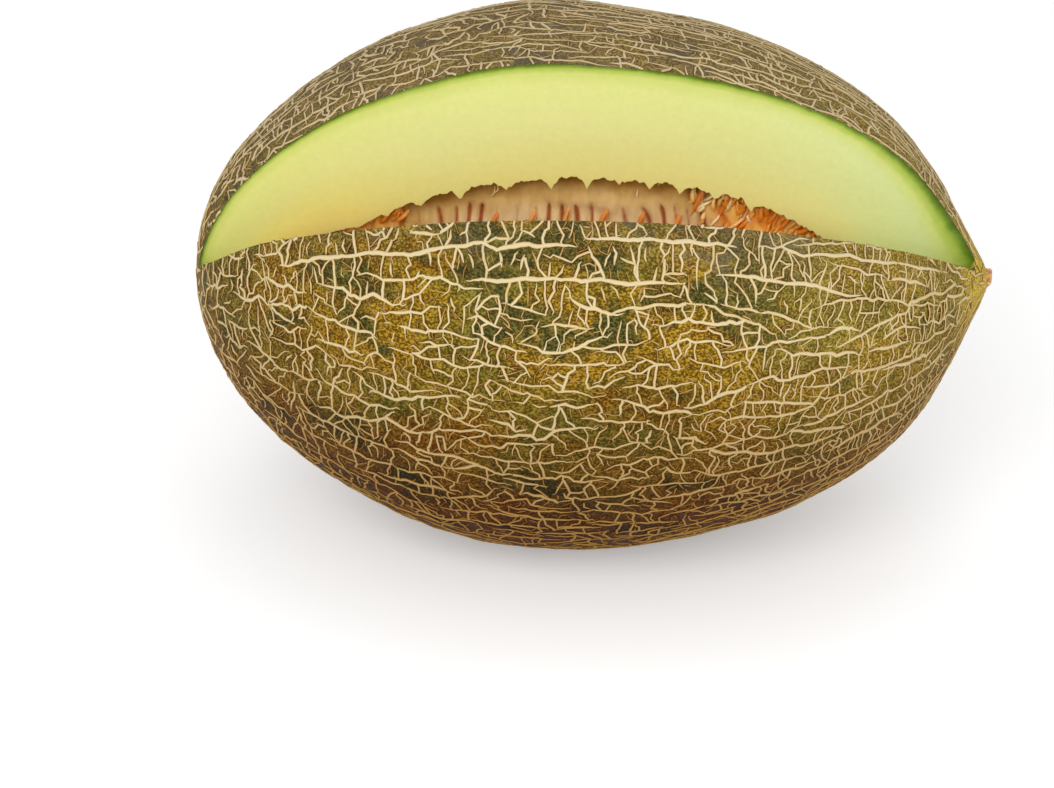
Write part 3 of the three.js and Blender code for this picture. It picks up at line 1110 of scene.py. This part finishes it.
def rind_material():
    """Speckled golden skin with green, rusty and dark blotches, yellow around the stalk, greyer on top as a
    painted sky sheen, and darker towards the ground as painted shade.
    """
    paint = Paint("rind", Roughness=0.55, Specular_IOR_Level=0.05)
    fleck = paint.ramp(paint.noise(0.62, 2.5, (1.3, 1, 1)), (0.44, 0.0), (0.64, 1.0))

    def speckled(deep, pale):
        return paint.mix(fleck, srgb(*deep), srgb(*pale))

    green_share = paint.ramp(paint.noise(24, 3, (1.5, 1, 1)), (0.44, 0.0), (0.60, 1.0))
    golden, green = speckled((84, 60, 6), (172, 134, 36)), speckled((64, 60, 14), (126, 114, 40))
    base = paint.mix(green_share, golden, green)

    # More rust blotches towards the ground: partly the rind's own colour, partly painted shade.
    rust_and_painted_shade_low = paint.product(paint.inverse(paint.height_z(10, 95)), 0.20)
    rusty = paint.math("ADD", paint.noise(19, 3, (1.6, 1, 1)), rust_and_painted_shade_low)
    base = paint.mix(paint.ramp(rusty, (0.56, 0.0), (0.72, 1.0)), base, speckled((78, 46, 2), (156, 106, 20)))

    upper_side = paint.product(paint.height_z(85, 125), 0.05)
    dark = paint.math("ADD", paint.noise(15, 3, (1.6, 1, 1)), upper_side)
    base = paint.mix(paint.ramp(dark, (0.53, 0.0), (0.61, 0.92)), base, speckled((40, 42, 16), (88, 84, 38)))

    # Painted sheen: the top of the rind is greyed as if it reflected the sky.
    painted_sky_sheen = paint.product(paint.upper_side(122, 162), 0.75)
    base = paint.mix(painted_sky_sheen, base, speckled((98, 80, 48), (150, 128, 88)))
    # Painted sheen: grey patches on the upper side, where the dark blotches catch the sky.
    painted_sheen_patches = paint.ramp(paint.noise(11, 3, (1.5, 1, 1)), (0.56, 0.0), (0.66, 0.75))
    base = paint.mix(paint.product(painted_sheen_patches, paint.upper_side(118, 140)), base, srgb(80, 76, 64))

    stalk_half = paint.product(paint.along_x(40, 110), 0.5)
    base = paint.mix(stalk_half, base, speckled((112, 96, 32), (186, 162, 72)))
    blunt_half = paint.product(paint.inverse(paint.along_x(-106, -50)), 0.5)
    base = paint.mix(blunt_half, base, speckled((62, 52, 24), (122, 98, 44)))
    blossom_scar = paint.inverse(paint.along_x(-BLUNT_LENGTH + 0.2, -BLUNT_LENGTH + 0.4))
    base = paint.mix(blossom_scar, base, speckled((110, 78, 36), (176, 140, 86)))
    ragged = paint.math("ADD", paint.product(paint.noise(5, 3), 0.8), -0.4)
    tip = paint.math("ADD", paint.along_x(NUB_STATION - 14, NUB_STATION - 3), ragged, clamp=True)
    base = paint.mix(tip, base, speckled((168, 140, 30), (220, 194, 88)))

    # Painted shade: the rind is multiplied darker towards the ground.
    return paint.finish(painted_shade_below(paint, base, srgb(142, 94, 34)), 0.9, 3, 0.12, 0.7)


def netting_material(name, lift):
    """Cork: rusty at the foot, darkened there partly as painted shade, cream on the crest, greyer towards the
    top as a painted sheen. Lift moves the whole ridge towards cream.
    """
    paint = Paint(name, Roughness=0.8, Specular_IOR_Level=0.08)
    age = paint.product(paint.math("SUBTRACT", paint.attribute("tone"), 0.5), 0.34)
    height = paint.math("ADD", paint.math("ADD", paint.attribute("crest"), lift), age)
    height = paint.math("ADD", height, paint.sway(0.5, 0.9, 3, (2.0, 1, 1)))
    # The dark foot is partly the cork's rusty edge and partly painted shade that outlines each ridge.
    fresh = paint.ramp(
        height, (0.06, srgb(88, 54, 12)), (0.34, srgb(158, 118, 58)), (0.66, srgb(192, 168, 116)),
        (0.98, srgb(202, 186, 146)))
    # Painted sheen: the netting greys towards the top as if it reflected the sky.
    painted_top_sheen = paint.ramp(
        height, (0.10, srgb(92, 74, 44)), (0.5, srgb(168, 146, 106)), (0.95, srgb(196, 178, 140)))
    colour = paint.mix(paint.product(paint.upper_side(126, 160), 0.8), fresh, painted_top_sheen)
    # Painted shade: the netting is multiplied darker towards the ground.
    return paint.finish(painted_shade_below(paint, colour, srgb(190, 164, 118)), 0.5, 3, 0.08, 0.6)


def flesh_material():
    """Green under the rind, pale in the middle and yellow towards the seeds, by its depth below the rind."""
    paint = Paint(
        "flesh", Roughness=0.4, Specular_IOR_Level=0.35, Subsurface_Weight=0.15, Subsurface_Scale=0.003,
        Subsurface_Radius=(1.0, 0.8, 0.5), Coat_Weight=0.15, Coat_Roughness=0.3)
    depth = paint.math("DIVIDE", paint.attribute("depth"), DEPTH_SPAN)
    stalk_end = paint.product(paint.along_x(78, 126), 0.55)
    blunt_end = paint.product(paint.inverse(paint.along_x(-90, -30)), 0.9)
    depth = paint.product(depth, paint.math("ADD", paint.inverse(stalk_end), blunt_end))
    deep = paint.product(paint.sway(0.14, 12, 3), paint.math("MULTIPLY", depth, 3.0, clamp=True))
    place = paint.math("ADD", paint.math("ADD", depth, deep), paint.sway(0.022, 3.5, 3))
    colour = paint.ramp(
        place, (0.0, srgb(64, 82, 8)), (0.014, srgb(98, 126, 22)), (0.034, srgb(162, 180, 74)),
        (0.070, srgb(198, 204, 114)), (0.17, srgb(213, 215, 138)), (0.5, srgb(221, 218, 150)),
        (0.86, srgb(231, 219, 142)), (1.0, srgb(232, 214, 136)))
    tan = paint.product(paint.inverse(paint.along_x(-100, -20)), 0.6)
    colour = paint.mix(tan, colour, srgb(246, 242, 212), "MULTIPLY")
    # Painted highlight: a paler, greyer band in the flesh under the rind towards the stalk end.
    pale = paint.product(paint.along_x(30, 118), paint.ramp(place, (0.05, 0.0), (0.14, 0.6), (0.6, 0.15)))
    colour = paint.mix(pale, colour, srgb(206, 216, 166))
    grain = paint.ramp(paint.noise(2.0, 4), (0.35, 0.965), (0.65, 1.0))
    return paint.finish(paint.mix(1.0, colour, grain, "MULTIPLY"), 0.8, 4, 0.10, 0.5)


def wall_material():
    """The wall of the seed cavity, behind the pulp."""
    paint = Paint("cavity_wall", Roughness=0.35, Subsurface_Weight=0.1, Subsurface_Scale=0.003)
    colour = paint.ramp(paint.noise(5, 4), (0.3, srgb(170, 122, 56)), (0.7, srgb(210, 176, 108)))
    return paint.finish(colour, 1.2, 4, 0.3, 0.6)


def nub_material():
    """The dry stub of the stalk."""
    paint = Paint("stalk_scar", Roughness=0.85, Specular_IOR_Level=0.2)
    dry = paint.noise(1.4, 4)
    colour = paint.ramp(dry, (0.35, srgb(130, 84, 56)), (0.5, srgb(180, 132, 92)), (0.64, srgb(216, 178, 112)))
    return paint.finish(colour, 0.7, 4, 0.35, 0.9)


def pulp_material():
    """Beige skin between the ribs' slots, darker beside the wall and dark red in the slots, both partly
    painted shade, and orange at both ends of the cavity.
    """
    paint = Paint(
        "pulp", Roughness=0.42, Specular_IOR_Level=0.25, Subsurface_Weight=0.2, Subsurface_Scale=0.003,
        Subsurface_Radius=(1.0, 0.6, 0.3), Coat_Weight=0.05, Coat_Roughness=0.25)
    # Darker brown beside the wall: partly the pulp's own colour, partly painted shade under the flesh's edge.
    wall = paint.math("ADD", paint.attribute("wall"), paint.sway(0.4, 5, 3))
    skin = paint.ramp(
        wall, (0.05, srgb(236, 209, 160)), (0.55, srgb(214, 177, 112)), (0.9, srgb(160, 113, 44)))
    # Dark red in the slots between the ribs: orange pulp, darkened there partly as painted shade.
    slot = paint.ramp(paint.attribute("fold"), (0.36, 0.92), (0.74, 0.0))
    colour = paint.mix(slot, skin, srgb(164, 76, 28))
    right = paint.product(paint.along_x(46, 60), 0.9)
    left = paint.product(paint.inverse(paint.along_x(-52, -40)), 0.75)
    orange = paint.ramp(
        paint.noise(3.2, 3, (1, 1, 1.6)), (0.38, srgb(230, 140, 36)), (0.58, srgb(250, 192, 100)))
    colour = paint.mix(paint.math("MAXIMUM", right, left), colour, orange)
    return paint.finish(colour, 1.3, 4, 0.3, 0.6, (1, 1, 2.5))


def strand_material():
    """Wet fibres, from deep orange to cream by each one's tone."""
    paint = Paint(
        "strands", Roughness=0.3, Specular_IOR_Level=0.4, Subsurface_Weight=0.2, Subsurface_Scale=0.002,
        Coat_Weight=0.3, Coat_Roughness=0.2)
    tone = paint.math("ADD", paint.attribute("tone"), paint.sway(0.4, 2, 3))
    colour = paint.ramp(
        tone, (0.1, srgb(232, 136, 32)), (0.45, srgb(246, 170, 66)), (0.72, srgb(248, 204, 126)),
        (0.92, srgb(246, 220, 170)))
    return paint.finish(colour, 0.6, 3, 0.05, 0.5)


def seed_material():
    """Wet husks, each in its own tone, with a darker rim."""
    paint = Paint(
        "seed_husk", Roughness=0.28, Subsurface_Weight=0.15, Subsurface_Scale=0.002, Coat_Weight=0.4,
        Coat_Roughness=0.15)
    tone = paint.math("ADD", paint.attribute("tone"), paint.sway(0.6, 3, 3))
    face = paint.ramp(tone, (0.1, srgb(226, 138, 46)), (0.6, srgb(242, 172, 84)), (0.95, srgb(246, 204, 134)))
    rim = paint.ramp(paint.attribute("edge"), (0.86, 0.0), (0.98, 1.0))
    return paint.finish(paint.mix(rim, face, srgb(198, 108, 36)), 0.6, 3, 0.04, 0.5, (1, 1, 3))


# ---------------------------------------------------------------- floor, light and camera

CAMERA_DISTANCE = 950.0
CAMERA_AZIMUTH = 2.18 * DEGREE
CAMERA_ELEVATION = 26.2 * DEGREE
CAMERA_ROLL = 1.2 * DEGREE
CAMERA_SIDEWAYS = -4.66
CAMERA_UPWARD = -37.86
CAMERA_LENS = 102.5
FLOOR_SIZE = 12.0
FLOOR_GLOW = 0.30
WORLD_STRENGTH = 0.62

# Name, place in metres, size in metres and energy of each light.
SOFTBOXES = (
    ("key", (-0.4, -1.35, 0.95), 1.0, 14.5),
    ("fill", (0.9, -1.1, 0.6), 0.9, 4.5),
    ("top", (0.1, 0.4, 1.5), 0.9, 2.0),
)


def set_stage():
    """The pale floor, a hair below the melon, with a little glow to keep it near white."""
    bpy.ops.mesh.primitive_plane_add(size=FLOOR_SIZE, location=(0, 0, -0.0002))
    floor = bpy.context.object
    floor.name = "floor"
    paint = Paint("floor", Roughness=0.8)
    shade = paint.ramp(paint.noise(400, 2), (0.3, 0.86), (0.7, 0.9))
    paint.set("Base Color", shade)
    paint.set("Emission Color", shade)
    paint.shader.inputs["Emission Strength"].default_value = FLOOR_GLOW
    floor.data.materials.append(paint.material)


def add_softbox(name, place, size, energy):
    light = bpy.data.lights.new(name, "AREA")
    light.size = size
    light.energy = energy
    lamp = bpy.data.objects.new(name, light)
    lamp.location = place
    aim = Vector((0.0, 0.0, AXIS_HEIGHT * MM)) - Vector(place)
    lamp.rotation_euler = aim.to_track_quat("-Z", "Y").to_euler()
    bpy.context.scene.collection.objects.link(lamp)


def set_light():
    world = bpy.data.worlds.new("studio")
    world.use_nodes = True
    world.node_tree.nodes["Background"].inputs["Color"].default_value = (1, 1, 1, 1)
    world.node_tree.nodes["Background"].inputs["Strength"].default_value = WORLD_STRENGTH
    bpy.context.scene.world = world
    for softbox in SOFTBOXES:
        add_softbox(*softbox)


def set_camera():
    camera = bpy.data.cameras.new("camera")
    camera.lens = CAMERA_LENS
    camera.clip_start = 0.05
    holder = bpy.data.objects.new("camera", camera)
    cosine, sine = math.cos(CAMERA_ELEVATION), math.sin(CAMERA_ELEVATION)
    back = Vector((math.sin(CAMERA_AZIMUTH) * cosine, -math.cos(CAMERA_AZIMUTH) * cosine, sine))
    right = Vector((math.cos(CAMERA_AZIMUTH), math.sin(CAMERA_AZIMUTH), 0))
    up = back.cross(right)
    place = back * CAMERA_DISTANCE + right * CAMERA_SIDEWAYS + up * CAMERA_UPWARD
    rolled_right = right * math.cos(CAMERA_ROLL) + up * math.sin(CAMERA_ROLL)
    rolled_up = up * math.cos(CAMERA_ROLL) - right * math.sin(CAMERA_ROLL)
    turn = Matrix((rolled_right, rolled_up, back)).transposed()
    holder.matrix_world = Matrix.Translation((place + Vector((0, 0, AXIS_HEIGHT))) * MM) @ turn.to_4x4()
    bpy.context.scene.collection.objects.link(holder)
    bpy.context.scene.camera = holder


def set_look():
    view = bpy.context.scene.view_settings
    view.view_transform = "Standard"
    view.look = "None"


# ---------------------------------------------------------------- the melon

def build_melon():
    body = build_body([rind_material(), flesh_material(), wall_material(), nub_material()])
    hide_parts("melon_body")
    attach(body, "root")

    net = grow_net()
    thick, thin, faint = (netting_material(*look) for look in (
        ("netting_thick", 0.05), ("netting_thin", 0.0), ("netting_faint", 0.05)))
    for name, kind, start, stop, material in (
        ("netting_long_ways_blunt_half", LONG_WAYS, -200, NET_SPLIT, thick),
        ("netting_long_ways_stalk_half", LONG_WAYS, NET_SPLIT, 200, thick),
        ("netting_cross_ways_blunt_half", CROSS_WAYS, -200, NET_SPLIT, thin),
        ("netting_cross_ways_stalk_half", CROSS_WAYS, NET_SPLIT, 200, thin),
        ("netting_hairlines", HAIRLINES, -200, 200, faint),
    ):
        piece = build_netting(net, name, kind, start, stop, material)
        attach(piece, "root")

    pulp = build_pulp(pulp_material())
    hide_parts("seed_pulp")
    strands = build_strands(strand_material())
    for piece in (pulp, strands):
        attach(piece, "root")

    husk = seed_material()
    for node in sorted(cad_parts):
        if node.startswith("seed_") and node != "seed_pulp":
            piece = build_seed(node, husk)
            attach(piece, "root")


set_camera()
build_melon()
set_stage()
set_light()
set_look()
